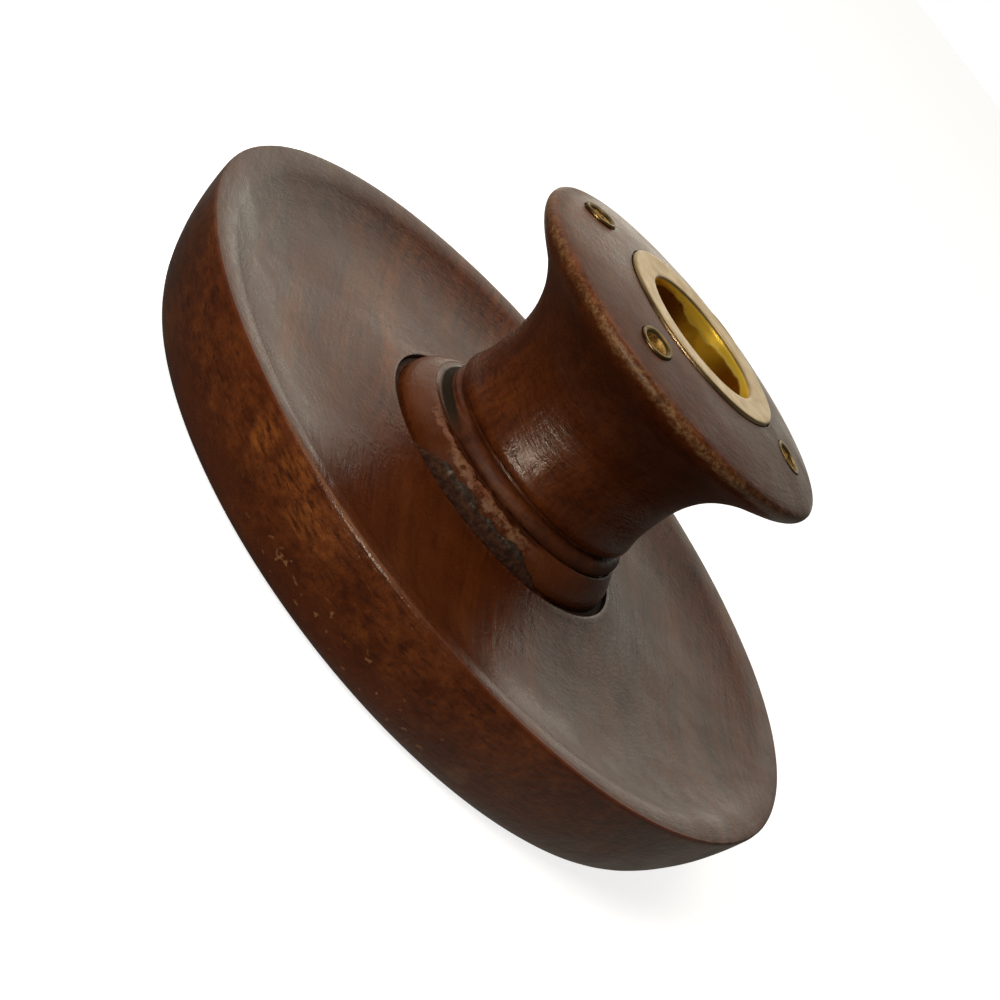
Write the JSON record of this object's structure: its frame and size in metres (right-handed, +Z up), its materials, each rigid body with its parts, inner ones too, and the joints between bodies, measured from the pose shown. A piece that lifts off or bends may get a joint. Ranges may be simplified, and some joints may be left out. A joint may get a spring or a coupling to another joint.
{
  "type": "taper candle and incense stick holder",
  "caption": "Low turned wooden holder with a dished base, a waisted stem, a flanged brass taper candle cup and small brass incense eyelets around its head.",
  "frame": {"origin": "centre of the felt's lower face, on the axis of the turning, at rest height", "axes": "+Z up along the axis of the turning; -Y towards the front eyelet; +X to the right"},
  "size_m": [0.1286, 0.1286, 0.054],
  "materials": {
    "base_wood": "polished hardwood, worn",
    "stem_wood": "polished hardwood, worn",
    "cup_brass": "satin turned",
    "eyelet_brass": "aged",
    "filler": "dried, rough",
    "felt": "wool felt",
    "screw_steel": "zinc plated"
  },
  "bodies": {
    "root": {"base": "base_wood", "stem": "stem_wood", "candle_cup": "cup_brass", "joint_filler": "filler", "felt_pad": "felt", "base_screw": "screw_steel", "incense_eyelet_front": "eyelet_brass", "incense_eyelet_right": "eyelet_brass", "incense_eyelet_back": "eyelet_brass", "incense_eyelet_left": "eyelet_brass"}
  },
  "joints": []
}
